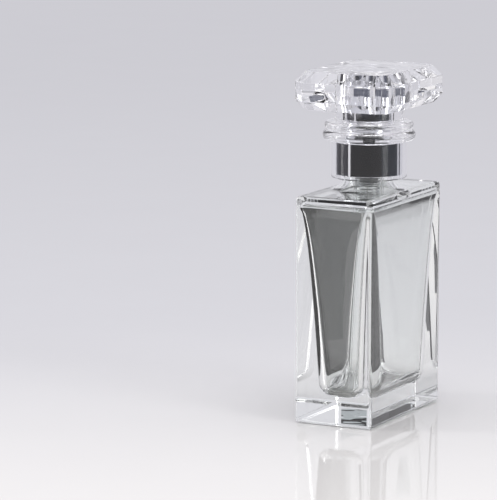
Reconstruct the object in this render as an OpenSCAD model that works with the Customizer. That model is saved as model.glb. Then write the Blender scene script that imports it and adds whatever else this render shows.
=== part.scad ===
// Flat rectangular glass spray bottle with a crimped pump, a polished collar and a clear faceted cap.
// The origin is the middle of the base. X runs along the broad faces, Y through them, Z is up.

/* [Glass body] */
// Width across the broad faces
body_w = 43.5; // [36:0.5:54]
// Thickness from one broad face to the other
body_t = 22.3; // [18.5:0.1:30]
// Height of the shoulder above the base
body_h = 60.3; // [50:0.1:75]
// Radius along the outer edges
edge_r = 1.1; // [0.5:0.1:1.5]
// Thickness of the glass base at its middle
base_t = 6.8; // [4:0.1:11]
// Thickness of the glass shoulder
shoulder_t = 1.2; // [1:0.1:4]
// Wall of the narrow sides near the shoulder
side_wall_top = 1; // [0.9:0.1:3]
// Wall of the narrow sides near the base
side_wall_low = 4.6; // [2:0.1:6]
// Wall of the broad faces near the shoulder
face_wall_top = 0.9; // [0.8:0.1:2.4]
// Wall of the broad faces near the base
face_wall_low = 4.4; // [1.6:0.1:4.8]

/* [Neck finish] */
// Diameter of the crimp bead
bead_d = 15; // [14:0.1:18]
// Height of the crimp bead
bead_h = 3.2; // [2.5:0.1:3.8]
// Diameter of the neck under the bead
neck_d = 13; // [12:0.1:13.6]
// Height of the neck above the shoulder
neck_h = 9.5; // [8:0.1:10.5]
// Diameter of the bore through the neck
neck_bore_d = 9.2; // [9:0.1:10.5]

/* [Crimp ferrule and gasket] */
// Wall of the aluminium ferrule
ferrule_wall = 0.4; // [0.3:0.05:0.5]
// Thickness of the neck gasket
gasket_t = 0.8; // [0.5:0.1:1.2]

/* [Collar] */
// Outer diameter of the polished collar
collar_d = 17.7; // [17.3:0.1:21.3]
// Wall of the collar shell
collar_wall = 0.35; // [0.3:0.05:0.5]
// Gap between the shoulder and the bottom of the collar
collar_lift = 4.1; // [2:0.1:5]
// How far the collar stands above the ferrule inside it
collar_rise = 0.6; // [0.6:0.1:1]

/* [Pump] */
// Outer diameter of the pump barrel
barrel_d = 8; // [7.4:0.1:9.6]
// Wall of the pump barrel
barrel_wall = 0.7; // [0.5:0.05:0.8]
// Outer diameter of the stem
stem_d = 3.3; // [3:0.1:3.4]
// Diameter of the passage up the stem
stem_bore_d = 1.4; // [1:0.1:1.6]
// Full stroke of the pump
stroke = 3.5; // [2.5:0.1:4]
// How far the piston slides on the stem before it opens the valve
valve_gap = 0.5; // [0.3:0.1:0.8]
// Diameter of the check ball
ball_d = 2; // [1.6:0.1:2.2]
// How far the check ball lifts
ball_lift = 0.8; // [0.5:0.1:1]
// Outer diameter of the dip tube
tube_d = 2.5; // [2:0.1:2.6]
// Inner diameter of the dip tube
tube_bore_d = 1.5; // [1:0.1:1.7]

/* [Actuator] */
// Outer diameter of the actuator
actuator_d = 12; // [11.4:0.1:14.4]
// Height of the actuator
actuator_h = 12; // [10:0.1:14]
// Wall of the actuator shell
shell_wall = 0.4; // [0.3:0.05:0.5]
// Outer diameter of the nozzle insert
nozzle_d = 4.4; // [3.6:0.1:5]
// Diameter of the spray hole
spray_hole_d = 0.4; // [0.3:0.1:0.8]

/* [Cap] */
// Long side of the faceted top
cap_w = 37.4; // [30:0.1:48]
// Short side of the faceted top
cap_t = 28.8; // [25:0.1:36]
// Corner cut on the outline of the faceted top
cap_corner = 3.8; // [2.5:0.1:6]
// How far the upper bevel runs in
bevel_top_in = 2.5; // [1.5:0.1:3.5]
// Height of the upper bevel
bevel_top_h = 2.7; // [1.5:0.1:3.5]
// Height of the upright band between the bevels
cap_band_h = 5; // [3.5:0.1:6.5]
// How far the lower bevel runs in
bevel_low_in = 2.2; // [1.5:0.1:3]
// Height of the lower bevel
bevel_low_h = 2.4; // [1.5:0.1:3]
// Diameter of the ring round the cap
ring_d = 24.6; // [22.5:0.1:27]
// Height of the lower bead of the ring
ring_low_h = 2.7; // [2:0.1:3.2]
// Height of the upper bead of the ring
ring_top_h = 1.9; // [1.4:0.1:2.4]
// Diameter of the cap between the ring and the faceted top
cap_neck_d = 18.2; // [17.2:0.1:20]
// Height of the cap between the ring and the faceted top
cap_neck_h = 4.1; // [3:0.1:7]
// Wall of the cap skirt that slides over the collar
skirt_wall = 1.05; // [0.8:0.05:1.6]

/* [Clearances] */
// Radial clearance of running and sliding fits
fit_gap = 0.05; // [0.02:0.01:0.08]
// Radial clearance of the cap on the collar
cap_gap = 0.1; // [0.05:0.01:0.1]
// Radial clearance of the actuator on the stem, a firm fit that turns by hand
turn_gap = 0.02; // [0.01:0.01:0.05]
// Radial gap round parts that move without touching
free_gap = 0.3; // [0.25:0.05:0.4]
// Gap between faces that stop a motion
stop_gap = 0.1; // [0.05:0.05:0.2]

/* [Hidden] */
$fn = 96;
over = 1;                       // how far a cut runs past the solid that it cuts

// Heights up the neck, from the shoulder upwards
bead_bottom_z = body_h + neck_h - bead_h;
neck_top_z = body_h + neck_h;
flange_t = 1;
turret_t = 0.8;
flange_z = neck_top_z + gasket_t;
turret_z = flange_z + flange_t;
ferrule_top_z = turret_z + turret_t + ferrule_wall;
turret_top_z = ferrule_top_z + 0.8;

// Neck of the glass, wide enough for the pump barrel
neck_bore_r = max(neck_bore_d, barrel_d + 4 * free_gap) / 2;
neck_r = max(neck_d / 2, neck_bore_r + 1.9);
bead_r = max(bead_d / 2, neck_r + 1);
stopper_r = bead_r - 0.3;       // gasket, pump flange and turret share this radius

// Ferrule and collar
ferrule_r = bead_r + fit_gap + ferrule_wall;
collar_r = max(collar_d / 2, ferrule_r + collar_wall + 0.4);
collar_z = body_h + collar_lift;
collar_hole_r = actuator_d / 2 + free_gap;

// Actuator at rest: it hangs clear above the collar and enters it when it is pressed
actuator_r = actuator_d / 2;
actuator_z = ferrule_top_z + stroke + free_gap;
actuator_top_z = actuator_z + actuator_h;
collar_top_z = ferrule_top_z + collar_rise;
core_r = actuator_r - shell_wall;
core_wall = 0.7;
boss_z = turret_top_z + stroke + stop_gap;
boss_r = stem_d / 2 + 1.1;
stem_grip = 3.4;
stem_top_z = boss_z + stem_grip;
nozzle_z = actuator_top_z - 4;
nozzle_l = 2.4;
channel_d = 1.2;

// Pump inside the neck, downwards from the turret
barrel_r = barrel_d / 2;
bore_r = barrel_r - barrel_wall;
turret_low_z = neck_top_z;
stem_flange_t = 0.8;
stem_flange_r = bore_r - 0.9;
stem_flange_z = turret_low_z - stop_gap - stem_flange_t;
piston_spring_h = 2.5;
piston_h = 3;
piston_top_z = stem_flange_z - piston_spring_h;
piston_z = piston_top_z - piston_h;
pin_disc_t = 1;
pin_disc_r = stem_d / 2 + 0.8;
pin_disc_z = piston_z - pin_disc_t;
pin_tail_l = 2;
return_spring_h = 2.2 * stroke + 1;
spring_seat_z = pin_disc_z - return_spring_h;
wire_d = 0.5;
thin_wire_d = 0.3;

// Foot of the pump: check valve and dip tube socket
seat_floor_t = 0.9;
foot_wall = 0.9;
ball_r = ball_d / 2;
ball_room_r = ball_r + 0.15;
ball_room_h = ball_d + ball_lift + 0.2;
ball_floor_z = spring_seat_z - ball_room_h;
ball_hole_r = 0.5;
ball_rest_z = ball_floor_z + sqrt(pow(ball_r + 0.02, 2) - pow(ball_hole_r, 2));
socket_top_z = ball_floor_z - 0.8;
socket_l = 4;
foot_r = max(tube_d / 2, ball_room_r) + foot_wall;
foot_z = socket_top_z - socket_l;
tube_clear = 1.5;               // gap between the dip tube and the glass floor

// Cavity in the glass
floor_r = 4;                    // rounding at the bottom of the cavity
ceiling_r = 2;                  // rounding under the shoulder
plan_r = 2;                     // rounding of the cavity's upright corners
swell = 0.6;                    // how the walls thicken downwards, below one is mostly near the top
wall_steps = 12;

// Cap, upwards from its skirt
skirt_r = collar_r + cap_gap + skirt_wall;
skirt_z = collar_z - 0.9;
cap_seat_z = collar_top_z + stop_gap / 2;
ring_r = ring_d / 2;
ring_groove = 0.5;
ring_gap_h = 0.25;
ring_top_z = actuator_z + 1.7;
ring_z = ring_top_z - ring_top_h - ring_gap_h - ring_low_h;
slab_z = ring_top_z + cap_neck_h;
band_z = slab_z + bevel_low_h;
band_top_z = band_z + cap_band_h;
cap_roof_z = band_top_z + bevel_top_h;
cap_well_r = actuator_r + free_gap + 0.1;
cap_well_z = actuator_top_z + 1;

// A rectangle with round corners, centred on the origin
module round_rect(w, h, r) {
    square([w - 2 * r, h], center = true);
    square([w, h - 2 * r], center = true);
    for (sx = [-1, 1], sy = [-1, 1])
        translate([sx * (w / 2 - r), sy * (h / 2 - r)]) circle(r);
}

// A tube standing on z, open along its bore
module tube(outer_r, inner_r, z, h) {
    translate([0, 0, z]) difference() {
        cylinder(r = outer_r, h = h);
        translate([0, 0, -over]) cylinder(r = inner_r, h = h + 2 * over);
    }
}

// A coil spring of round wire, standing on z, as a swept tube with closed ends
module coil_spring(mean_r, wire, z, h, turns) {
    sides = 6;
    steps = round(turns * 14);
    rise = h - wire;
    ring_at = function (i) [for (k = [0 : sides - 1])
        let (turn = 360 * turns * i / steps,
             around = 360 * k / sides,
             reach = mean_r + wire / 2 * cos(around))
        [reach * cos(turn), reach * sin(turn), z + wire / 2 + rise * i / steps + wire / 2 * sin(around)]];
    points = [for (i = [0 : steps]) each ring_at(i)];
    skin = [for (i = [0 : steps - 1], k = [0 : sides - 1])
        let (next = (k + 1) % sides)
        [i * sides + k, (i + 1) * sides + k, (i + 1) * sides + next, i * sides + next]];
    start_cap = [[for (k = [0 : sides - 1]) k]];
    end_cap = [[for (k = [sides - 1 : -1 : 0]) steps * sides + k]];
    polyhedron(points = points, faces = concat(skin, start_cap, end_cap));
}

// Half the width of the cavity at a share of its height, for walls that thicken downwards
function half_at(share, half_low, half_top) = half_top - (half_top - half_low) * pow(1 - share, swell);

// The outline of the cavity seen from one side, narrower near the base
module cavity_outline(half_low, half_top) {
    ceiling_z = body_h - shoulder_t;
    wall_low_z = base_t + floor_r;
    wall_h = ceiling_z - ceiling_r - wall_low_z;
    low_x = half_at(0, half_low, half_top);
    wall = [for (i = [0 : wall_steps])
        [half_at(i / wall_steps, half_low, half_top), wall_low_z + wall_h * i / wall_steps]];
    floor_arc = [for (turn = [-90 : 10 : -10])
        [low_x - floor_r + floor_r * cos(turn), wall_low_z + floor_r * sin(turn)]];
    ceiling_arc = [for (turn = [10 : 10 : 90])
        [half_top - ceiling_r + ceiling_r * cos(turn), ceiling_z - ceiling_r + ceiling_r * sin(turn)]];
    right = concat(floor_arc, wall, ceiling_arc);
    left = [for (i = [len(right) - 1 : -1 : 0]) [-right[i][0], right[i][1]]];
    polygon(concat(right, left));
}

module glass_block() {
    intersection() {
        linear_extrude(body_h) round_rect(body_w, body_t, edge_r);
        rotate([90, 0, 0]) linear_extrude(body_t, center = true)
            translate([0, body_h / 2]) round_rect(body_w, body_h, edge_r);
        rotate([90, 0, 90]) linear_extrude(body_w, center = true)
            translate([0, body_h / 2]) round_rect(body_t, body_h, edge_r);
    }
}

module cavity() {
    intersection() {
        rotate([90, 0, 0]) linear_extrude(body_t, center = true)
            cavity_outline(body_w / 2 - side_wall_low, body_w / 2 - side_wall_top);
        rotate([90, 0, 90]) linear_extrude(body_w, center = true)
            cavity_outline(body_t / 2 - face_wall_low, body_t / 2 - face_wall_top);
        linear_extrude(body_h)
            round_rect(body_w - 2 * side_wall_top, body_t - 2 * face_wall_top, plan_r);
    }
}

module bottle() {
    bead_round = 0.6;
    color("gainsboro", 0.35) difference() {
        union() {
            glass_block();
            rotate_extrude() {
                translate([0, body_h - over]) square([neck_r, neck_h + over]);
                translate([0, bead_bottom_z + bead_round]) square([bead_r, bead_h - 2 * bead_round]);
                translate([0, bead_bottom_z]) square([bead_r - bead_round, bead_h]);
                for (z = [bead_bottom_z + bead_round, neck_top_z - bead_round])
                    translate([bead_r - bead_round, z]) circle(bead_round);
            }
        }
        cavity();
        translate([0, 0, body_h - shoulder_t - over]) cylinder(r = neck_bore_r, h = shoulder_t + neck_h + 2 * over);
    }
}

module neck_gasket() {
    color("lightgray") tube(stopper_r, barrel_r + free_gap, neck_top_z, gasket_t);
}

module crimp_ferrule() {
    curl_h = ferrule_wall;
    color("silver") {
        difference() {
            translate([0, 0, bead_bottom_z - fit_gap - curl_h])
                cylinder(r = ferrule_r, h = ferrule_top_z - bead_bottom_z + fit_gap + curl_h);
            translate([0, 0, bead_bottom_z - fit_gap])
                cylinder(r = ferrule_r - ferrule_wall, h = ferrule_top_z - ferrule_wall - bead_bottom_z + fit_gap);
            translate([0, 0, bead_bottom_z - over]) cylinder(r = neck_r + fit_gap, h = over);
            translate([0, 0, ferrule_top_z - over]) cylinder(r = barrel_r, h = 2 * over);
        }
    }
}

module collar() {
    color("silver") {
        tube(collar_r, collar_r - collar_wall, collar_z, collar_top_z - collar_z - collar_wall);
        tube(collar_r, collar_hole_r, collar_top_z - collar_wall, collar_wall);
    }
}

module collar_sleeve() {
    sleeve_r = collar_r - collar_wall;
    sleeve_z = collar_z + 0.3;
    ledge_t = collar_top_z - collar_wall - ferrule_top_z;
    color("whitesmoke") {
        tube(sleeve_r, ferrule_r, sleeve_z, collar_top_z - collar_wall - sleeve_z);
        tube(sleeve_r, collar_hole_r + free_gap, ferrule_top_z, ledge_t);
    }
}

module turret() {
    guide_r = stem_d / 2 + fit_gap;
    color("dimgray") difference() {
        union() {
            translate([0, 0, turret_z]) cylinder(r = stopper_r, h = turret_t);
            translate([0, 0, turret_z]) cylinder(r = barrel_r - fit_gap, h = turret_top_z - turret_z);
            translate([0, 0, turret_low_z]) cylinder(r = bore_r, h = turret_z + turret_t - turret_low_z);
        }
        translate([0, 0, turret_low_z - over]) cylinder(r = guide_r, h = turret_top_z - turret_low_z + 2 * over);
    }
}

module pump_housing() {
    color("whitesmoke") difference() {
        union() {
            translate([0, 0, flange_z]) cylinder(r = stopper_r, h = flange_t);
            translate([0, 0, spring_seat_z - seat_floor_t])
                cylinder(r = barrel_r, h = flange_z + flange_t - spring_seat_z + seat_floor_t);
            translate([0, 0, foot_z]) cylinder(r = foot_r, h = spring_seat_z - foot_z);
        }
        translate([0, 0, spring_seat_z]) cylinder(r = bore_r, h = flange_z + flange_t - spring_seat_z + over);
        translate([0, 0, ball_floor_z]) cylinder(r = ball_room_r, h = ball_room_h + over);
        translate([0, 0, foot_z]) cylinder(r = ball_hole_r, h = ball_floor_z - foot_z + over);
        translate([0, 0, foot_z - over]) cylinder(d = tube_d, h = socket_l + over);
    }
}

module dip_tube() {
    tube_z = base_t + tube_clear;
    color("gainsboro", 0.6) tube(tube_d / 2, tube_bore_d / 2, tube_z, socket_top_z - tube_z);
}

module check_ball() {
    color("silver") translate([0, 0, ball_rest_z]) sphere(ball_r);
}

module return_spring() {
    color("silver") coil_spring(bore_r - 0.35 - wire_d / 2, wire_d, spring_seat_z, return_spring_h, 6);
}

module piston() {
    lip_h = 0.7;
    waist_r = bore_r - 0.5;
    slide_r = stem_d / 2 + fit_gap;
    color("whitesmoke") {
        tube(waist_r, slide_r, piston_z, piston_h);
        for (z = [piston_z, piston_top_z - lip_h])
            tube(bore_r - fit_gap, slide_r, z, lip_h);
    }
}

module piston_spring() {
    color("silver")
        coil_spring(stem_d / 2 + 0.2 + thin_wire_d / 2, thin_wire_d, piston_top_z, piston_spring_h, 4);
}

module stem() {
    port_d = 0.7;
    color("dimgray") difference() {
        union() {
            translate([0, 0, piston_z]) cylinder(d = stem_d, h = stem_top_z - piston_z);
            translate([0, 0, stem_flange_z]) cylinder(r = stem_flange_r, h = stem_flange_t);
        }
        translate([0, 0, piston_z - over]) cylinder(d = stem_bore_d, h = stem_top_z - piston_z + 2 * over);
        translate([0, 0, piston_z + valve_gap / 2 + port_d / 2]) rotate([90, 0, 0])
            cylinder(d = port_d, h = stem_d + 2 * over, center = true, $fn = 24);
    }
}

module valve_pin() {
    plug_l = 0.4;
    tail_d = stem_d - 1;
    color("whitesmoke") {
        translate([0, 0, pin_disc_z]) cylinder(r = pin_disc_r, h = pin_disc_t);
        translate([0, 0, pin_disc_z]) cylinder(d = stem_bore_d, h = pin_disc_t + plug_l);
        translate([0, 0, pin_disc_z - pin_tail_l]) cylinder(d = tail_d, h = pin_tail_l);
    }
}

module actuator_core() {
    core_z = actuator_z + 0.2;
    web_z = stem_top_z + 0.6;
    core_top_z = actuator_top_z - shell_wall;
    color("whitesmoke") difference() {
        union() {
            tube(core_r, core_r - core_wall, core_z, web_z - core_z);
            translate([0, 0, boss_z]) cylinder(r = boss_r, h = web_z - boss_z);
            translate([0, 0, web_z]) cylinder(r = core_r, h = core_top_z - web_z);
        }
        translate([0, 0, boss_z - over]) cylinder(r = stem_d / 2 + turn_gap, h = stem_grip + over);
        translate([0, 0, boss_z]) cylinder(d = channel_d, h = nozzle_z - boss_z);
        translate([0, 0, nozzle_z]) rotate([90, 0, 0]) cylinder(d = channel_d, h = core_r);
        translate([0, nozzle_l - actuator_r, nozzle_z]) rotate([90, 0, 0]) cylinder(d = nozzle_d, h = nozzle_l);
    }
}

module actuator_shell() {
    lip_r = 0.5;
    color("silver") difference() {
        rotate_extrude() {
            translate([0, actuator_z]) square([actuator_r, actuator_h - lip_r]);
            translate([0, actuator_z]) square([actuator_r - lip_r, actuator_h]);
            translate([actuator_r - lip_r, actuator_top_z - lip_r]) circle(lip_r);
        }
        translate([0, 0, actuator_z - over]) cylinder(r = core_r, h = actuator_h - shell_wall + over);
        translate([0, 0, nozzle_z]) rotate([90, 0, 0]) cylinder(d = nozzle_d, h = actuator_r + over);
    }
}

module nozzle_insert() {
    swirl_d = 1.6;
    swirl_l = nozzle_l - 0.5;
    face_in = 0.1;
    color("whitesmoke") translate([0, nozzle_l - actuator_r, nozzle_z]) rotate([90, 0, 0]) difference() {
        cylinder(d = nozzle_d, h = nozzle_l - face_in);
        translate([0, 0, -over]) cylinder(d = swirl_d, h = swirl_l - face_in + over);
        translate([0, 0, -over]) cylinder(d = spray_hole_d, h = nozzle_l + 2 * over, $fn = 24);
    }
}

// A side view of the faceted top: upright band with a bevel above and below
module slab_outline(half) {
    polygon([[half - bevel_low_in, slab_z], [half, band_z], [half, band_top_z],
             [half - bevel_top_in, cap_roof_z], [bevel_top_in - half, cap_roof_z],
             [-half, band_top_z], [-half, band_z], [bevel_low_in - half, slab_z]]);
}

module slab_along(half, turn) {
    rotate([0, 0, turn]) rotate([90, 0, 0])
        linear_extrude(cap_w + cap_t, center = true) slab_outline(half);
}

module faceted_slab() {
    corner_half = (cap_w / 2 + cap_t / 2 - cap_corner) / sqrt(2);
    intersection() {
        slab_along(cap_w / 2, 0);
        slab_along(cap_t / 2, 90);
        slab_along(corner_half, 45);
        slab_along(corner_half, -45);
    }
}

module cap() {
    bore_r = collar_r + cap_gap;
    rim = 0.3;
    low_r = ring_low_h / 2;
    top_r = ring_top_h / 2;
    low_z = ring_z + low_r;
    top_z = ring_top_z - top_r;
    color("whitesmoke", 0.3) difference() {
        union() {
            faceted_slab();
            rotate_extrude() {
                translate([0, skirt_z + rim]) square([skirt_r, ring_top_z - skirt_z - rim]);
                translate([0, skirt_z]) square([skirt_r - rim, rim]);
                translate([skirt_r - rim, skirt_z + rim]) circle(rim);
                translate([0, ring_z]) square([ring_r - low_r, ring_low_h]);
                translate([ring_r - low_r, low_z]) circle(low_r);
                translate([0, ring_z]) square([ring_r - low_r - ring_groove, ring_top_z - ring_z]);
                translate([0, ring_top_z - ring_top_h]) square([ring_r - top_r - ring_groove, ring_top_h]);
                translate([ring_r - top_r - ring_groove, top_z]) circle(top_r);
                translate([0, ring_top_z - over]) square([cap_neck_d / 2, cap_neck_h + 2 * over]);
            }
        }
        translate([0, 0, skirt_z - over]) cylinder(r = bore_r, h = cap_seat_z - skirt_z + over);
        translate([0, 0, skirt_z]) cylinder(r = cap_well_r, h = cap_well_z - skirt_z);
    }
}

bottle();
neck_gasket();
crimp_ferrule();
collar();
collar_sleeve();
turret();
pump_housing();
dip_tube();
check_ball();
return_spring();
piston();
piston_spring();
stem();
valve_pin();
actuator_core();
actuator_shell();
nozzle_insert();
cap();
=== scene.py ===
from math import atan2, cos, degrees, pi, radians, sin

import bmesh
import bpy
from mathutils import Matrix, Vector


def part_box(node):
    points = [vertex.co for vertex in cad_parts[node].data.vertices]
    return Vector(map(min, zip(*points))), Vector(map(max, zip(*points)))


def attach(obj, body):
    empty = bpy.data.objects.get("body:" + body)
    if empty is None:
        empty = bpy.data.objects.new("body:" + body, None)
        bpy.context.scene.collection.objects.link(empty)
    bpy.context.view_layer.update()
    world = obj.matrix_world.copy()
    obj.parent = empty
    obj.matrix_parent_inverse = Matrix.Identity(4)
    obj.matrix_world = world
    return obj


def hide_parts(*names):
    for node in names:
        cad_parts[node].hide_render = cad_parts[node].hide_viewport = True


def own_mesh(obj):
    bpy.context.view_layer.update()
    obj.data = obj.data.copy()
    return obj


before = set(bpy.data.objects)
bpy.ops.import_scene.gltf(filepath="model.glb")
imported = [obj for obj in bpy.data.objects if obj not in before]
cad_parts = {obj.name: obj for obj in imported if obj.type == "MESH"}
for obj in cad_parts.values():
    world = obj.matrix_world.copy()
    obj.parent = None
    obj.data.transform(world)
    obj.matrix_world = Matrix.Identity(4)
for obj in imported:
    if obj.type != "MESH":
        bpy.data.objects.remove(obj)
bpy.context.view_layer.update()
mm = 0.001
weldGap = 0.001 * mm    # points nearer than this count as one


# modelling helpers

def startFresh():
    if bpy.context.object and bpy.context.object.mode == "EDIT":
        bpy.ops.object.mode_set(mode="OBJECT")
    bpy.ops.object.select_all(action="DESELECT")


def takeUp(piece):
    startFresh()
    piece.select_set(True)
    bpy.context.view_layer.objects.active = piece


def putDown(piece):
    # the place goes into the mesh, and the object stays at the origin
    takeUp(piece)
    bpy.ops.object.transform_apply(location=True, rotation=True, scale=True)
    return piece


def openMesh(piece, kind="FACE"):
    takeUp(piece)
    bpy.ops.object.mode_set(mode="EDIT")
    bpy.ops.mesh.select_mode(type=kind)
    bpy.ops.mesh.select_all(action="DESELECT")


def closeMesh():
    bpy.ops.object.mode_set(mode="OBJECT")


def pick(piece, test, kind="FACE"):
    # selects the faces, edges or points that pass the test
    mesh = bmesh.from_edit_mesh(piece.data)
    parts = {"FACE": mesh.faces, "EDGE": mesh.edges, "VERT": mesh.verts}[kind]
    for part in parts:
        part.select_set(False)
    for part in [part for part in parts if test(part)]:
        part.select_set(True)
    mesh.select_flush_mode()
    bmesh.update_edit_mesh(piece.data)


def block(name, low, high):
    startFresh()
    middle = [(a + b) / 2 for a, b in zip(low, high)]
    size = [b - a for a, b in zip(low, high)]
    bpy.ops.mesh.primitive_cube_add(size=1, location=middle, scale=size)
    piece = bpy.context.object
    piece.name = piece.data.name = name
    return putDown(piece)


def arc(middle, radius, start, stop, steps=8):
    # points (radius, height) round a quarter or half circle, angles in degrees
    turns = [radians(start + (stop - start) * i / steps) for i in range(steps + 1)]
    return [(middle[0] + radius * cos(t), middle[1] + radius * sin(t)) for t in turns]


def turned(name, outline, steps=144):
    # an outline of (radius, height) points in mm, spun round the upright axis
    startFresh()
    bpy.ops.mesh.primitive_plane_add(size=mm)
    piece = bpy.context.object
    piece.name = piece.data.name = name
    openMesh(piece, "VERT")
    bpy.ops.mesh.select_all(action="SELECT")
    bpy.ops.mesh.merge(type="CENTER")
    here = (0.0, 0.0)
    for index, there in enumerate(outline):
        step = ((there[0] - here[0]) * mm, 0, (there[1] - here[1]) * mm)
        if index == 0:
            bpy.ops.transform.translate(value=step)
        else:
            bpy.ops.mesh.extrude_region_move(TRANSFORM_OT_translate={"value": step})
        here = there
    bpy.ops.mesh.select_all(action="SELECT")
    bpy.ops.mesh.spin(steps=steps, angle=2 * pi, center=(0, 0, 0), axis=(0, 0, 1))
    bpy.ops.mesh.select_all(action="SELECT")
    bpy.ops.mesh.remove_doubles(threshold=weldGap)
    bpy.ops.mesh.normals_make_consistent(inside=False)
    closeMesh()
    return piece


def modify(piece, kind, **settings):
    takeUp(piece)
    modifier = piece.modifiers.new(kind.title(), kind)
    for key, value in settings.items():
        setattr(modifier, key, value)
    bpy.ops.object.modifier_apply(modifier=modifier.name)


def joinSolid(piece, other):
    modify(piece, "BOOLEAN", operation="UNION", solver="EXACT", object=other)
    bpy.data.objects.remove(other)


def cutAway(piece, other):
    modify(piece, "BOOLEAN", operation="DIFFERENCE", solver="EXACT", object=other)
    bpy.data.objects.remove(other)


def weld(piece):
    # closes up the slivers that joining and cutting leave behind
    openMesh(piece, "VERT")
    bpy.ops.mesh.select_all(action="SELECT")
    bpy.ops.mesh.remove_doubles(threshold=4 * weldGap)
    bpy.ops.mesh.dissolve_degenerate(threshold=2 * weldGap)
    closeMesh()


def smooth(piece, angle=35):
    weld(piece)
    takeUp(piece)
    bpy.ops.object.shade_smooth_by_angle(angle=radians(angle))
    modify(piece, "WEIGHTED_NORMAL", weight=100, keep_sharp=True)


# material helpers

class Wire:
    # a socket that can be used in sums
    def __init__(self, finish, socket):
        self.finish = finish
        self.socket = socket

    def maths(self, operation, first, second):
        return self.finish.add("Math", {"operation": operation}, {0: first, 1: second})

    def __add__(self, other):
        return self.maths("ADD", self, other)

    def __mul__(self, other):
        return self.maths("MULTIPLY", self, other)

    __radd__ = __add__
    __rmul__ = __mul__


class Finish:
    def __init__(self, name):
        self.material = bpy.data.materials.new(name)
        self.material.use_nodes = True
        self.tree = self.material.node_tree
        self.shader = self.tree.nodes["Principled BSDF"]

    def add(self, kind, settings=None, sockets=None, out=0):
        node = self.tree.nodes.new("ShaderNode" + kind)
        for key, value in (settings or {}).items():
            if key == "stops":
                for stop, (place, colour) in zip(node.color_ramp.elements, value):
                    stop.position = place
                    stop.color = colour
            else:
                setattr(node, key, value)
        for key, value in (sockets or {}).items():
            self.feed(node.inputs[key], value)
        return Wire(self, node.outputs[out])

    def feed(self, socket, value):
        if isinstance(value, Wire):
            self.tree.links.new(value.socket, socket)
        else:
            socket.default_value = value

    def set(self, **values):
        for key, value in values.items():
            self.feed(self.shader.inputs[key.replace("_", " ")], value)

    def coords(self):
        return self.add("TexCoord", out="Object")

    def noise(self, scale, detail=3.0, roughness=0.5):
        sockets = {"Vector": self.coords(), "Scale": scale, "Detail": detail, "Roughness": roughness}
        return self.add("TexNoise", None, sockets, out="Fac")

    def stretched(self, scale, detail, stretch):
        # noise drawn out along one way, for fine turning or rubbing marks
        vector = self.add("Mapping", None, {"Vector": self.coords(), "Scale": stretch})
        return self.add("TexNoise", None, {"Vector": vector, "Scale": scale, "Detail": detail}, out="Fac")

    def patches(self, source, edge):
        # black below the first value of the edge, white above the second
        stops = [(edge[0], (0, 0, 0, 1)), (edge[1], (1, 1, 1, 1))]
        return self.add("ValToRGB", {"stops": stops}, {"Fac": source})

    def blend(self, factor, first, second):
        node = {"data_type": "RGBA"}
        return self.add("Mix", node, {"Factor": factor, 6: first, 7: second}, out=2)

    def bump(self, height, strength, distance):
        sockets = {"Height": height, "Strength": strength, "Distance": distance}
        self.set(Normal=self.add("Bump", None, sockets))


def paint(piece, finish):
    piece.data.materials.clear()
    piece.data.materials.append(finish.material)


def repaintNode(name, finish):
    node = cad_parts[name]
    for slot in node.material_slots:
        slot.material = finish.material


# finishes

def clearGlassFinish():
    finish = Finish("clear glass")
    glass = {
        "tint": (0.955, 0.970, 0.955, 1), "rub": (0.930, 0.950, 0.935, 1), "rubShare": 0.4,
        "rubScale": 60, "fineScale": 900, "wearEdge": (0.62, 0.80), "dull": 0.03, "bend": 1.52,
        "waveScale": 90, "wave": 0.16, "waveDepth": 0.4 * mm, "baseTop": 16 * mm, "calm": 0.3,
    }
    wear = finish.patches(finish.noise(glass["rubScale"], 4, 0.6), glass["wearEdge"])
    fine = finish.noise(glass["fineScale"], 2, 0.5)
    finish.set(Base_Color=finish.blend(wear * glass["rubShare"], glass["tint"], glass["rub"]))
    finish.set(Roughness=wear * fine * glass["dull"], Transmission_Weight=1.0, IOR=glass["bend"])
    # pressed glass is wavier near its thick base
    height = finish.add("SeparateXYZ", None, {"Vector": finish.coords()}, out="Z")
    ends = {"Value": height, "From Max": glass["baseTop"], "To Min": 1.0, "To Max": glass["calm"]}
    swell = finish.add("MapRange", {"interpolation_type": "SMOOTHSTEP"}, ends)
    finish.bump(finish.noise(glass["waveScale"], 1, 0.4) * swell, glass["wave"], glass["waveDepth"])
    return finish


def clearAcrylicFinish():
    finish = Finish("clear acrylic")
    acrylic = {
        "tint": (0.995, 0.995, 1, 1), "haze": (0.975, 0.975, 0.99, 1), "hazeScale": 120,
        "scuffScale": 400, "scuffEdge": (0.66, 0.78), "dull": 0.04, "bend": 1.49,
        "waveScale": 80, "wave": 0.03, "waveDepth": 0.3 * mm,
    }
    haze = finish.noise(acrylic["hazeScale"], 4, 0.6)
    scuff = finish.patches(finish.stretched(acrylic["scuffScale"], 3, (1, 6, 1)), acrylic["scuffEdge"])
    finish.set(Base_Color=finish.blend(haze, acrylic["tint"], acrylic["haze"]))
    finish.set(Roughness=scuff * haze * acrylic["dull"], Transmission_Weight=1.0, IOR=acrylic["bend"])
    finish.bump(finish.noise(acrylic["waveScale"], 1, 0.4), acrylic["wave"], acrylic["waveDepth"])
    return finish


def turnedMetalFinish(name, metal):
    # fine lines round the piece, as turning or drawing leaves them, under a faint cloudiness
    finish = Finish(name)
    lines = finish.stretched(metal["lineScale"], 4, (1, 1, metal["lineStretch"]))
    cloud = finish.noise(metal["cloudScale"], 3, metal["cloudGrain"])
    finish.set(Base_Color=finish.blend(cloud, metal["dark"], metal["light"]), Metallic=1.0)
    gloss = lines * metal["lineDull"] + metal["dull"]
    if "cloudDull" in metal:
        gloss = gloss + cloud * metal["cloudDull"]
    finish.set(Roughness=gloss)
    finish.bump(lines, metal["cut"], metal["cutDepth"])
    return finish


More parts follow.
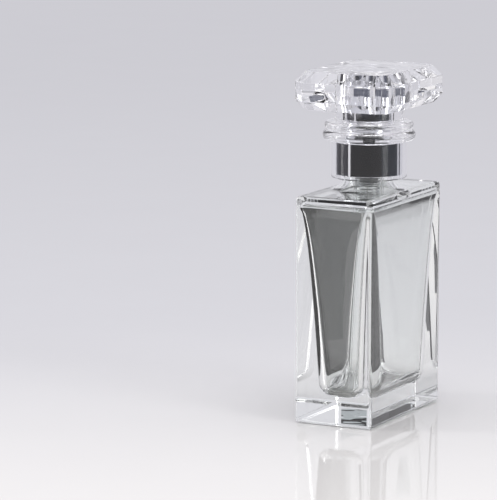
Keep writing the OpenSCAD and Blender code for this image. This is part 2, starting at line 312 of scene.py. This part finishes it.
def steelFinish():
    finish = Finish("bright steel")
    steel = {
        "dark": (0.55, 0.56, 0.58, 1), "light": (0.70, 0.70, 0.72, 1), "grainScale": 900,
        "grainDull": 0.15, "dull": 0.12, "cut": 0.1, "cutDepth": 0.01 * mm,
    }
    grain = finish.noise(steel["grainScale"], 3, 0.5)
    finish.set(Base_Color=finish.blend(grain, steel["dark"], steel["light"]))
    finish.set(Metallic=1.0, Roughness=grain * steel["grainDull"] + steel["dull"])
    finish.bump(grain, steel["cut"], steel["cutDepth"])
    return finish


moulded = {"grainScale": 1600, "cloudScale": 150, "grainDull": 0.15, "cut": 0.12, "cutDepth": 0.02 * mm}
clearPlastic = {
    "flowScale": 160, "flowStretch": 0.3, "flowShade": 0.97, "flowDull": 0.08,
    "clear": 0.97, "bend": 1.47, "wave": 0.05, "waveDepth": 0.05 * mm,
}


def mouldedFinish(name, light, dark, dull):
    finish = Finish(name)
    grain = finish.noise(moulded["grainScale"], 4, 0.6)
    cloud = finish.noise(moulded["cloudScale"], 2, 0.5)
    finish.set(Base_Color=finish.blend(cloud, light, dark))
    finish.set(Roughness=grain * moulded["grainDull"] + dull)
    finish.bump(grain, moulded["cut"], moulded["cutDepth"])
    return finish


def clearPlasticFinish(name, tint, dull):
    finish = Finish(name)
    flow = finish.stretched(clearPlastic["flowScale"], 3, (1, 1, clearPlastic["flowStretch"]))
    deeper = [c * clearPlastic["flowShade"] for c in tint[:3]] + [1]
    finish.set(Base_Color=finish.blend(flow, tint, deeper))
    finish.set(Roughness=flow * clearPlastic["flowDull"] + dull)
    finish.set(Transmission_Weight=clearPlastic["clear"], IOR=clearPlastic["bend"])
    finish.bump(flow, clearPlastic["wave"], clearPlastic["waveDepth"])
    return finish


glassFinish = clearGlassFinish()
acrylicFinish = clearAcrylicFinish()
polishedFinish = turnedMetalFinish("polished aluminium", {
    "dark": (0.80, 0.81, 0.83, 1), "light": (0.87, 0.87, 0.89, 1),
    "lineScale": 90, "lineStretch": 60, "lineDull": 0.06,
    "cloudScale": 140, "cloudGrain": 0.55, "cloudDull": 0.03,
    "dull": 0.02, "cut": 0.04, "cutDepth": 0.02 * mm,
})
drawnFinish = turnedMetalFinish("drawn aluminium", {
    "dark": (0.68, 0.69, 0.71, 1), "light": (0.80, 0.80, 0.82, 1),
    "lineScale": 120, "lineStretch": 25, "lineDull": 0.18,
    "cloudScale": 200, "cloudGrain": 0.5,
    "dull": 0.16, "cut": 0.15, "cutDepth": 0.03 * mm,
})
springSteel = steelFinish()
pumpFinish = mouldedFinish("pump plastic", (0.86, 0.86, 0.86, 1), (0.80, 0.80, 0.81, 1), 0.3)
# near black, given to the turret and the stem so that they show dark through the cap's ring
darkFinish = mouldedFinish("dark pump plastic", (0.030, 0.030, 0.034, 1), (0.022, 0.022, 0.025, 1), 0.2)
pistonFinish = mouldedFinish("piston plastic", (0.78, 0.80, 0.83, 1), (0.72, 0.74, 0.77, 1), 0.35)
gasketFinish = mouldedFinish("gasket plastic", (0.70, 0.70, 0.71, 1), (0.62, 0.62, 0.63, 1), 0.5)
nozzleFinish = mouldedFinish("nozzle plastic", (0.30, 0.30, 0.32, 1), (0.26, 0.26, 0.28, 1), 0.25)
housingFinish = clearPlasticFinish("clear pump plastic", (0.97, 0.98, 0.98, 1), 0.04)
tubeFinish = clearPlasticFinish("tube plastic", (0.98, 0.99, 0.99, 1), 0.01)


# camera, floor and light

# places in metres, angles in degrees
studio = {
    "camera": (-0.8291, -0.3944, 0.1963), "turn": -62.57, "pitch": 9.44,
    "lens": 252, "sensor": 36, "clip": (0.05, 20),
    "air": (0.755, 0.75, 0.80, 1), "airStrength": 0.95,
    "bounces": (14, 9),     # through glass, off gloss
    "wallRadius": 0.33, "wallLow": 0.001, "wallMiddle": 0.043, "wallTop": 0.056,
}
sightLine = Vector((sin(radians(-studio["turn"])), cos(radians(studio["turn"])), 0))
rightHand = Vector((sightLine.y, -sightLine.x, 0))    # to the right as the camera sees it


def addCamera():
    bpy.ops.object.camera_add(location=studio["camera"])
    eye = bpy.context.object
    eye.name = "camera"
    eye.rotation_euler = (radians(90 - studio["pitch"]), 0, radians(studio["turn"]))
    eye.data.lens, eye.data.sensor_width = studio["lens"], studio["sensor"]
    eye.data.clip_start, eye.data.clip_end = studio["clip"]
    bpy.context.scene.camera = eye
    bpy.context.scene.view_settings.view_transform = "Standard"
    light = bpy.context.scene.cycles
    light.transmission_bounces, light.glossy_bounces = studio["bounces"]


def addAir():
    world = bpy.data.worlds.new("studio air")
    bpy.context.scene.world = world
    world.use_nodes = True
    air = world.node_tree.nodes["Background"]
    air.inputs["Color"].default_value = studio["air"]
    air.inputs["Strength"].default_value = studio["airStrength"]


def addFloor():
    floor = {
        "size": 12, "drop": 0.05 * mm, "paintedLightSpan": (-0.16, 0.16), "mottle": 30,
        # the near and far colours are painted light and painted shade on an evenly pale floor
        "near": ((0.83, 0.81, 0.775, 1), (0.85, 0.83, 0.795, 1)),
        "far": ((0.59, 0.585, 0.60, 1), (0.61, 0.605, 0.62, 1)),
        "mottleDull": 0.02, "dull": 0.03, "bend": 1.5,
    }
    startFresh()
    bpy.ops.mesh.primitive_plane_add(size=floor["size"], location=(0, 0, -floor["drop"]))
    ground = bpy.context.object
    ground.name = "floor"
    gloss = Finish("floor")
    mottle = gloss.noise(floor["mottle"], 3, 0.5)
    # painted light and shade: the floor's colour is brighter near the camera and greyer behind the bottle
    sides = {0: gloss.coords(), 1: sightLine}
    along = gloss.add("VectorMath", {"operation": "DOT_PRODUCT"}, sides, out="Value")
    ends = {"Value": along, "From Min": floor["paintedLightSpan"][0], "From Max": floor["paintedLightSpan"][1]}
    distance = gloss.add("MapRange", {"interpolation_type": "SMOOTHSTEP"}, ends)
    near, far = gloss.blend(mottle, *floor["near"]), gloss.blend(mottle, *floor["far"])
    gloss.set(Base_Color=gloss.blend(distance, near, far))
    gloss.set(Roughness=mottle * floor["mottleDull"] + floor["dull"], IOR=floor["bend"])
    paint(ground, gloss)


def addLamp(name, place, aim, size, power):
    bpy.ops.object.light_add(type="AREA", location=place)
    lamp = bpy.context.object
    lamp.name = name
    lamp.visible_camera = False
    lamp.data.shape = "RECTANGLE"
    lamp.data.size, lamp.data.size_y = size
    lamp.data.energy = power
    way = Vector(aim) - Vector(place)
    lamp.rotation_euler = way.to_track_quat("-Z", "Y").to_euler()


def clothFinish(name, shade):
    fabric = {"weave": 300, "spread": (0.8, 1.2), "dull": 0.9, "shine": 0.1}
    cloth = Finish(name)
    darker, lighter = ([c * share for c in shade] + [1] for share in fabric["spread"])
    cloth.set(Base_Color=cloth.blend(cloth.noise(fabric["weave"], 2, 0.5), darker, lighter))
    cloth.set(Roughness=fabric["dull"], Specular_IOR_Level=fabric["shine"])
    return cloth


def hideCard(card):
    # a card is seen only through the glass and the cap
    card.visible_camera = False
    card.visible_diffuse = card.visible_shadow = card.visible_glossy = False


def angleFromCamera(point):
    # degrees round the bottle from the camera's side, negative to its left
    return degrees(atan2(Vector(point).dot(rightHand), Vector(point).dot(-sightLine)))


def addWall(name, low, high, panels):
    # a round screen that the collar and the head mirror; a panel is (from, to, cloth) in degrees
    startFresh()
    bpy.ops.mesh.primitive_cylinder_add(vertices=360, radius=studio["wallRadius"], depth=high - low,
                                        location=(0, 0, (low + high) / 2), end_fill_type="NOTHING")
    wall = bpy.context.object
    wall.name = name
    putDown(wall)
    for start, stop, cloth in panels:
        wall.data.materials.append(cloth.material)
    openMesh(wall)

    def inPanel(face, start, stop):
        return start <= angleFromCamera(face.calc_center_median()) < stop

    for number, (start, stop, cloth) in enumerate(panels):
        pick(wall, lambda face: inPanel(face, start, stop))
        wall.active_material_index = number
        bpy.ops.object.material_slot_assign()
    pick(wall, lambda face: not any(inPanel(face, start, stop) for start, stop, cloth in panels))
    bpy.ops.mesh.delete(type="FACE")
    closeMesh()
    hideCard(wall)


def addNeighbour():
    # stands for a dark object lying to the left, which the glass bends into its left face
    place = {
        "start": (-41.2, 63.1), "stop": (26.4, 14.3), "low": 3, "height": 46,
        "shade": (0.004, 0.004, 0.005),
    }
    startFresh()
    bpy.ops.mesh.primitive_plane_add(size=1, rotation=(pi / 2, 0, 0))
    card = putDown(bpy.context.object)
    card.name = "dark side card"
    start, stop = Vector(place["start"]) * mm, Vector(place["stop"]) * mm
    way = stop - start
    card.scale = (way.length, 1, place["height"] * mm)
    card.rotation_euler = (0, 0, atan2(way.y, way.x))
    middle = (start + stop) / 2
    card.location = (middle.x, middle.y, (place["low"] + place["height"] / 2) * mm)
    putDown(card)
    paint(card, clothFinish("side cloth", place["shade"]))
    hideCard(card)


def addMat():
    # a dark mat on the floor to the left, mirrored by the narrow left face
    mat = {
        "way": (-0.8757, 0.4545), "near": 80, "far": 400, "width": 24, "rise": 1,
        "shade": (0.02, 0.02, 0.022),
    }
    startFresh()
    middle = (mat["near"] + mat["far"]) / 2 * mm
    bpy.ops.mesh.primitive_plane_add(size=1)
    card = bpy.context.object
    card.name = "dark mat"
    card.scale = ((mat["far"] - mat["near"]) * mm, mat["width"] * mm, 1)
    card.rotation_euler = (0, 0, atan2(mat["way"][1], mat["way"][0]))
    card.location = (mat["way"][0] * middle, mat["way"][1] * middle, mat["rise"] * mm)
    putDown(card)
    paint(card, clothFinish("mat cloth", mat["shade"]))
    hideCard(card)


def addBackCard(name, away, across, width, low, high, shade):
    # a small card far behind, out of direct sight, that the underside of the thick base mirrors
    startFresh()
    bpy.ops.mesh.primitive_plane_add(size=1, rotation=(pi / 2, 0, 0))
    card = putDown(bpy.context.object)
    card.name = name
    card.scale = (width * mm, 1, (high - low) * mm)
    card.rotation_euler = (0, 0, radians(studio["turn"]))
    spot = (sightLine * away + rightHand * across) * mm
    card.location = (spot.x, spot.y, (low + high) / 2 * mm)
    putDown(card)
    paint(card, clothFinish(name + " cloth", shade))
    hideCard(card)


lamps = {
    "top softbox": {"place": (-0.1, -0.1, 0.9), "aim": (0, 0, 0.05), "size": (0.5, 0.5), "power": 3},
    "left strip": {"place": (-0.30, 0.62, 0.25), "aim": (0, 0, 0.06), "size": (0.12, 0.8), "power": 1.5},
    "right strip": {"place": (-0.2, -0.8, 0.3), "aim": (0, 0, 0.06), "size": (0.25, 0.8), "power": 2},
}
# millimetres; across is to the right of the line of sight
backCards = {
    "grey back card": {"away": 290, "across": 14, "width": 12, "low": 58, "high": 70,
                       "shade": (0.40, 0.43, 0.44)},
    "dark back bar": {"away": 288, "across": 12.5, "width": 8, "low": 61.5, "high": 64,
                      "shade": (0.01, 0.01, 0.012)},
}

addCamera()
addFloor()
addAir()
for lampName, lamp in lamps.items():
    addLamp(lampName, **lamp)
greyCloth = clothFinish("grey cloth", (0.032, 0.030, 0.037))
blackCloth = clothFinish("black cloth", (0.007, 0.007, 0.008))
blueCloth = clothFinish("blue cloth", (0.011, 0.015, 0.022))
paleCloth = clothFinish("pale cloth", (0.11, 0.12, 0.16))
darkPanels = ((-131, -73, greyCloth), (-65, 41, blackCloth), (41, 104, blueCloth), (111, 118, blackCloth))
palePanels = ((-38, 58, paleCloth),)
addWall("dark screen", studio["wallLow"], studio["wallMiddle"], darkPanels)
addWall("pale screen", studio["wallMiddle"], studio["wallTop"], palePanels)
addNeighbour()
addMat()
for cardName, card in backCards.items():
    addBackCard(cardName, **card)
print("studio set")


# glass bottle

bottle = {
    "edge": 1.1, "edgeSteps": 8,
    "neckHeight": 9.5, "neckRadius": 6.5, "root": 3.9,
    "beadRadius": 7.5, "beadHeight": 3.2, "beadRound": 0.6,
    "bore": 4.6, "flare": 5.4,
    "base": 6.8, "shoulder": 1.2, "swell": 0.6,
    "wallTop": (1.0, 0.9), "wallLow": (4.6, 4.4),
    "cornerTop": 1.6, "cornerLow": 5.5, "cornerLeast": 0.4,
    "floorRound": 4.0, "ceilingRound": 2.0,
    "neckSink": 3, "mouthRound": 0.5, "boreDrop": 0.6, "flareDrop": 0.02,
}


def hollowHeights(bottom, top):
    # (height, share of the wall's height, how far the ring is drawn in)
    floorR, ceilingR = bottle["floorRound"], bottle["ceilingRound"]
    wallLow, wallTop = bottom + floorR, top - ceilingR
    steps, wallSteps = 12, 36
    turns = [radians(90 * i / steps) for i in range(steps + 1)]
    rings = [(wallLow - floorR * cos(t), 0, floorR * (1 - sin(t))) for t in turns]
    rings += [(wallLow + (wallTop - wallLow) * i / wallSteps, i / wallSteps, 0) for i in range(1, wallSteps)]
    rings += [(wallTop + ceilingR * sin(t), 1, ceilingR * (1 - cos(t))) for t in turns]
    return rings


def roundedRing(halfX, halfY, corner, steps=12):
    # points round a rectangle with round corners, the same number for every size
    points = []
    for number, (sx, sy) in enumerate(((1, 1), (-1, 1), (-1, -1), (1, -1))):
        middle = (sx * (halfX - corner), sy * (halfY - corner))
        points += arc(middle, corner, 90 * number, 90 * number + 90, steps)
    return points


def hollowShape(half, shoulderTop):
    # the inside of the glass as a skin over rings: the walls thicken and the corners soften downwards
    bottom, top = bottle["base"], shoulderTop - bottle["shoulder"]
    skin = bmesh.new()
    rings = []
    for z, share, inset in hollowHeights(bottom, top):
        thick = (1 - share) ** bottle["swell"]
        walls = [t + (w - t) * thick for t, w in zip(bottle["wallTop"], bottle["wallLow"])]
        corner = bottle["cornerTop"] + (bottle["cornerLow"] - bottle["cornerTop"]) * thick
        corner = max(corner - inset, bottle["cornerLeast"])
        flat = roundedRing(half[0] - walls[0] - inset, half[1] - walls[1] - inset, corner)
        rings.append([skin.verts.new((x * mm, y * mm, z * mm)) for x, y in flat])
    for lower, upper in zip(rings, rings[1:]):
        for i in range(len(lower)):
            skin.faces.new((lower[i - 1], lower[i], upper[i], upper[i - 1]))
    skin.faces.new(rings[0][::-1])
    skin.faces.new(rings[-1])
    mesh = bpy.data.meshes.new("hollow")
    skin.to_mesh(mesh)
    skin.free()
    piece = bpy.data.objects.new("hollow", mesh)
    bpy.context.collection.objects.link(piece)
    openMesh(piece)
    bpy.ops.mesh.select_all(action="SELECT")
    bpy.ops.mesh.remove_doubles(threshold=weldGap)
    bpy.ops.mesh.normals_make_consistent(inside=False)
    closeMesh()
    return piece


def makeBottle():
    low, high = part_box("bottle")
    half = [high[0] / mm, high[1] / mm]
    neckTop = high[2] / mm
    shoulder = neckTop - bottle["neckHeight"]
    body = block("glass_body", low, (high[0], high[1], shoulder * mm))
    modify(body, "BEVEL", width=bottle["edge"] * mm, segments=bottle["edgeSteps"], limit_method="ANGLE")
    root = bottle["root"]
    beadR, beadRound = bottle["beadRadius"], bottle["beadRound"]
    beadLow = neckTop - bottle["beadHeight"]
    neckR = bottle["neckRadius"]
    sunk = shoulder - bottle["neckSink"]
    outline = [(0, sunk), (neckR + root, sunk), (neckR + root, shoulder)]
    outline += arc((neckR + root, shoulder + root), root, 270, 180)[1:]
    outline += [(neckR, beadLow)]
    outline += arc((beadR - beadRound, beadLow + beadRound), beadRound, 270, 360)
    outline += arc((beadR - beadRound, neckTop - beadRound), beadRound, 0, 90)
    outline += [(0, neckTop)]
    joinSolid(body, turned("neck", outline))
    cutAway(body, hollowShape(half, shoulder))
    bore, flare, mouth = bottle["bore"], bottle["flare"], bottle["mouthRound"]
    ceiling = shoulder - bottle["shoulder"]
    boreLow, wide = ceiling - bottle["boreDrop"], bore + flare
    outline = [(0, boreLow), (wide, boreLow), (wide, ceiling - bottle["flareDrop"])]
    outline += arc((wide, ceiling + flare), flare, 270, 180)
    outline += [(bore, neckTop - mouth)] + arc((bore + mouth, neckTop - mouth), mouth, 180, 90)[1:]
    outline += [(bore + mouth, neckTop + 1), (0, neckTop + 1)]
    cutAway(body, turned("bore", outline))
    smooth(body, angle=40)
    paint(body, glassFinish)
    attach(body, "glass_bottle")
    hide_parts("bottle")
    print("glass bottle made")


makeBottle()


# clear cap

cap = {
    "corner": 3.8, "bevelTop": (2.5, 2.7), "bevelLow": (2.2, 2.4), "band": 5.0,
    "polish": 0.12,
    "ring": 12.3, "ringLow": 2.7, "ringTop": 1.9, "ringGap": 0.25, "groove": 0.5,
    "neckRadius": 9.1, "neckHeight": 4.1, "root": 0.8,
    "valley": 0.5, "beadSink": 0.05, "neckSink": 1,
    "skirtWall": 1.05, "rim": 0.3, "skirtRound": 0.3, "ringRound": 0.4, "grip": 0.1,
    "well": 6.4, "wellRound": 1.2, "seatGap": 0.05, "mouthRound": 0.3, "headGap": 1,
}


def capTop(low, high):
    # the faceted block: upright corners cut, then bevelled in above and below
    slabTop = high[2] / mm
    bandTop = slabTop - cap["bevelTop"][1]
    bandLow = bandTop - cap["band"]
    slabLow = bandLow - cap["bevelLow"][1]
    piece = block("clear_cap", (low[0], low[1], bandLow * mm), (high[0], high[1], bandTop * mm))
    openMesh(piece, "EDGE")
    pick(piece, lambda e: abs((e.verts[0].co - e.verts[1].co).z) > mm, "EDGE")
    leg = cap["corner"] * mm
    bpy.ops.mesh.bevel(offset=leg, offset_type="OFFSET", segments=1, affect="EDGES")
    bpy.ops.mesh.select_mode(type="FACE")
    for up, (inset, rise) in ((1, cap["bevelTop"]), (-1, cap["bevelLow"])):
        pick(piece, lambda f: f.normal.z * up > 0.9)
        bpy.ops.mesh.inset(thickness=inset * mm, depth=0)
        bpy.ops.transform.translate(value=(0, 0, up * rise * mm))
    closeMesh()
    modify(piece, "BEVEL", width=cap["polish"] * mm, segments=3, limit_method="ANGLE",
           angle_limit=radians(20))
    return piece, slabLow


def capNeck(slabLow, skirt, skirtR):
    # the neck under the block, its two beads and the skirt, as one outline
    rim, ring, sink = cap["rim"], cap["ring"], cap["beadSink"]
    low, high = cap["skirtRound"], cap["ringRound"]
    ringTop = slabLow - cap["neckHeight"]
    topR, lowR = cap["ringTop"] / 2, cap["ringLow"] / 2
    ringLow = ringTop - cap["ringTop"] - cap["ringGap"] - cap["ringLow"]
    neckR, root = cap["neckRadius"], cap["root"]
    valleyR = ring - lowR - cap["groove"] + cap["valley"]
    outline = [(0, skirt), (skirtR - rim, skirt)] + arc((skirtR - rim, skirt + rim), rim, 270, 360, 5)[1:]
    outline += [(skirtR, ringLow - low)] + arc((skirtR + low, ringLow - low), low, 180, 90, 4)[1:]
    outline += arc((ring - lowR, ringLow + lowR), lowR, 270, 430, 20)
    outline += [(valleyR, ringLow + 2 * lowR - sink), (valleyR, ringTop - 2 * topR + sink)]
    outline += arc((ring - cap["groove"] - topR, ringTop - topR), topR, 290, 450, 18)
    outline += [(neckR + high, ringTop)] + arc((neckR + high, ringTop + high), high, 270, 180, 4)[1:]
    outline += [(neckR, slabLow - root)] + arc((neckR + root, slabLow - root), root, 180, 90, 6)[1:]
    outline += [(neckR + root, slabLow + cap["neckSink"]), (0, slabLow + cap["neckSink"])]
    return turned("cap_neck", outline, steps=160)


def capHollow(skirt, grip, seat, wellTop):
    # the room for the collar, the seat on its top and the well for the spray head
    well, wellRound, mouth = cap["well"], cap["wellRound"], cap["mouthRound"]
    outline = [(0, skirt - 1), (grip + mouth, skirt - 1), (grip + mouth, skirt)]
    outline += arc((grip + mouth, skirt + mouth), mouth, 270, 180, 4)[1:]
    outline += [(grip, seat), (well + mouth, seat)]
    outline += arc((well + mouth, seat + mouth), mouth, 270, 180, 4)[1:]
    outline += [(well, wellTop - wellRound)]
    outline += arc((well - wellRound, wellTop - wellRound), wellRound, 0, 90, 8)[1:]
    outline += [(0, wellTop)]
    return turned("cap_hollow", outline, steps=160)


def makeCap():
    low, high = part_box("cap")
    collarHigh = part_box("collar")[1]
    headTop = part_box("actuator_shell")[1][2] / mm
    piece, slabLow = capTop(low, high)
    skirt, grip = low[2] / mm, collarHigh[0] / mm + cap["grip"]
    joinSolid(piece, capNeck(slabLow, skirt, grip + cap["skirtWall"]))
    cutAway(piece, capHollow(skirt, grip, collarHigh[2] / mm + cap["seatGap"], headTop + cap["headGap"]))
    smooth(piece, angle=30)
    paint(piece, acrylicFinish)
    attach(piece, "cap")
    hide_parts("cap")
    print("cap made")


makeCap()


# collar and spray head shell

collar = {"wall": 0.35, "lip": 0.35, "foot": 0.15, "headGap": 0.3}
head = {
    "wall": 0.4, "crown": 0.6, "hem": 0.12, "chamfer": 0.2,
    "dishRim": 0.9, "dishEdge": 2.2, "dishDrop": 0.25, "dishFloor": 0.1,
    "nozzle": 2.2, "nozzleDrop": 4.0,
}


def makeCollar():
    low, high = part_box("collar")
    outer, bottom, top = high[0] / mm, low[2] / mm, high[2] / mm
    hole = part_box("actuator_shell")[1][0] / mm + collar["headGap"]
    wall, lip, foot = collar["wall"], collar["lip"], collar["foot"]
    outline = [(outer - wall, bottom + foot)]
    outline += arc((outer - wall / 2, bottom + wall / 2), wall / 2, 180, 360, 8)
    outline += arc((outer - lip, top - lip), lip, 0, 90, 6)
    outline += arc((hole + wall / 2, top - wall / 2), wall / 2, 90, 270, 6)
    outline += [(outer - wall, top - wall), (outer - wall, bottom + foot)]
    piece = turned("polished_collar", outline, steps=160)
    smooth(piece, angle=40)
    paint(piece, polishedFinish)
    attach(piece, "glass_bottle")
    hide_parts("collar")


def makeHeadShell():
    low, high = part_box("actuator_shell")
    outer, bottom, top = high[0] / mm, low[2] / mm, high[2] / mm
    wall, crown, chamfer = head["wall"], head["crown"], head["chamfer"]
    inner, roof = outer - wall, top - wall
    outline = [(0, roof), (inner - chamfer, roof), (inner, roof - chamfer), (inner, bottom + head["hem"])]
    outline += arc((inner + wall / 2, bottom + wall / 2), wall / 2, 180, 360, 8)
    outline += arc((outer - crown, top - crown), crown, 0, 90, 8)
    outline += [(outer - crown - head["dishRim"], top)]
    outline += [(outer - crown - head["dishEdge"], top - head["dishDrop"]), (0, roof + head["dishFloor"])]
    piece = turned("polished_head", outline, steps=160)
    nozzleZ = (top - head["nozzleDrop"]) * mm
    startFresh()
    bpy.ops.mesh.primitive_cylinder_add(vertices=64, radius=head["nozzle"] * mm, depth=outer * mm,
                                        location=(0, -outer * mm, nozzleZ), rotation=(pi / 2, 0, 0))
    cutAway(piece, putDown(bpy.context.object))
    smooth(piece, angle=35)
    paint(piece, polishedFinish)
    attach(piece, "spray_head")
    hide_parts("actuator_shell")


makeCollar()
makeHeadShell()
print("collar and spray head made")

# small pieces inside

tube = {"bore": 0.6, "cutSlope": 35, "cutRise": 1.1}    # bore is a share of the outside
springs = {
    "return_spring": {"wire": 0.5, "turns": 7, "closed": 1.25, "body": "glass_bottle",
                      "joint": "plunger_press", "travel": 3.5, "fixed": "bottom"},
    "piston_spring": {"wire": 0.3, "turns": 4, "closed": 0.75, "body": "plunger",
                      "joint": "piston_slide", "travel": 0.5, "fixed": "top"},
}
nozzle = {
    "rim": 0.25, "dish": 0.55, "dishRadius": 1.35, "dishRim": (0.15, 0.1),
    "hole": 0.2, "holeCone": (0.25, 0.08), "swirl": 0.8, "swirlTop": 1.4,
}
coilTight = 1.02        # a closed turn rises this many wire widths


def makeDipTube():
    # an extruded tube whose lower end is cut on a slope
    low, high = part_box("dip_tube")
    outer, bottom, top = high[0] / mm, low[2] / mm, high[2] / mm
    inner = outer * tube["bore"]
    outline = [(inner, bottom), (outer, bottom), (outer, top), (inner, top), (inner, bottom)]
    piece = turned("dip_tube_cut", outline, steps=64)
    openMesh(piece)
    bpy.ops.mesh.select_all(action="SELECT")
    slope = radians(tube["cutSlope"])
    bpy.ops.mesh.bisect(plane_co=(0, 0, (bottom + tube["cutRise"]) * mm),
                        plane_no=(sin(slope), 0, cos(slope)), use_fill=True, clear_inner=True)
    bpy.ops.mesh.select_all(action="SELECT")
    bpy.ops.mesh.normals_make_consistent(inside=False)
    closeMesh()
    smooth(piece, angle=40)
    paint(piece, tubeFinish)
    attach(piece, "glass_bottle")
    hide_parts("dip_tube")


def makeSpring(node):
    # a coil whose end turns lie closed, as round wire along a path
    coil = springs[node]
    low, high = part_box(node)
    wire = coil["wire"] / 2 * mm
    reach = high[0] - wire
    rise = high[2] - low[2] - 2 * wire
    flat = coil["closed"]
    path = bpy.data.curves.new(node + "_coil", "CURVE")
    path.dimensions = "3D"
    path.bevel_depth = wire
    path.bevel_resolution = 3
    path.use_fill_caps = True
    line = path.splines.new("POLY")
    perTurn = 36
    count = int(coil["turns"] * perTurn)
    line.points.add(count)
    pitchEnd = 2 * wire * coilTight
    middleTurns = coil["turns"] - 2 * flat
    middleRise = rise - 2 * flat * pitchEnd
    for i in range(count + 1):
        turn = i / perTurn
        share = min(max(turn - flat, 0), middleTurns) / middleTurns
        height = pitchEnd * (min(turn, flat) + max(turn - flat - middleTurns, 0)) + middleRise * share
        place = (reach * cos(2 * pi * turn), reach * sin(2 * pi * turn), low[2] + wire + height, 1)
        line.points[i].co = place
    coilObject = bpy.data.objects.new(node + "_coil", path)
    bpy.context.collection.objects.link(coilObject)
    takeUp(coilObject)
    bpy.ops.object.convert(target="MESH")
    piece = putDown(bpy.context.object)
    smooth(piece, angle=50)
    paint(piece, springSteel)
    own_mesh(piece)
    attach(piece, coil["body"])
    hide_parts(node)


def makeNozzle():
    # a round insert with a dished face and a small spray hole
    low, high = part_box("nozzle_insert")
    outer = (high[0] - low[0]) / 2 / mm
    deep = (high[1] - low[1]) / mm
    rim, hole, swirl = nozzle["rim"], nozzle["hole"], nozzle["swirl"]
    dishR, dishFloor = nozzle["dishRadius"], deep - nozzle["dish"]
    rimOut, rimDrop = nozzle["dishRim"]
    coneOut, coneRise = nozzle["holeCone"]
    outline = [(swirl, 0), (outer, 0), (outer, deep - rim)]
    outline += arc((outer - rim, deep - rim), rim, 0, 90, 5)[1:]
    outline += [(dishR + rimOut, deep), (dishR, deep - rimDrop)]
    outline += [(hole + coneOut, dishFloor + coneRise), (hole, dishFloor)]
    outline += [(hole, nozzle["swirlTop"]), (swirl, nozzle["swirlTop"]), (swirl, 0)]
    piece = turned("spray_nozzle", outline, steps=72)
    piece.rotation_euler = (pi / 2, 0, 0)
    piece.location = (0, high[1], (low[2] + high[2]) / 2)
    putDown(piece)
    smooth(piece, angle=35)
    paint(piece, nozzleFinish)
    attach(piece, "spray_head")
    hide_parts("nozzle_insert")


makeDipTube()
for springNode in springs:
    makeSpring(springNode)
makeNozzle()
print("dip tube, springs and nozzle made")

carriedOver = {
    "neck_gasket": gasketFinish, "crimp_ferrule": drawnFinish, "collar_sleeve": pumpFinish,
    "turret": darkFinish, "pump_housing": housingFinish, "check_ball": springSteel, "piston": pistonFinish,
    "stem": darkFinish, "valve_pin": pumpFinish, "actuator_core": pumpFinish,
}
for nodeName, nodeFinish in carriedOver.items():
    repaintNode(nodeName, nodeFinish)
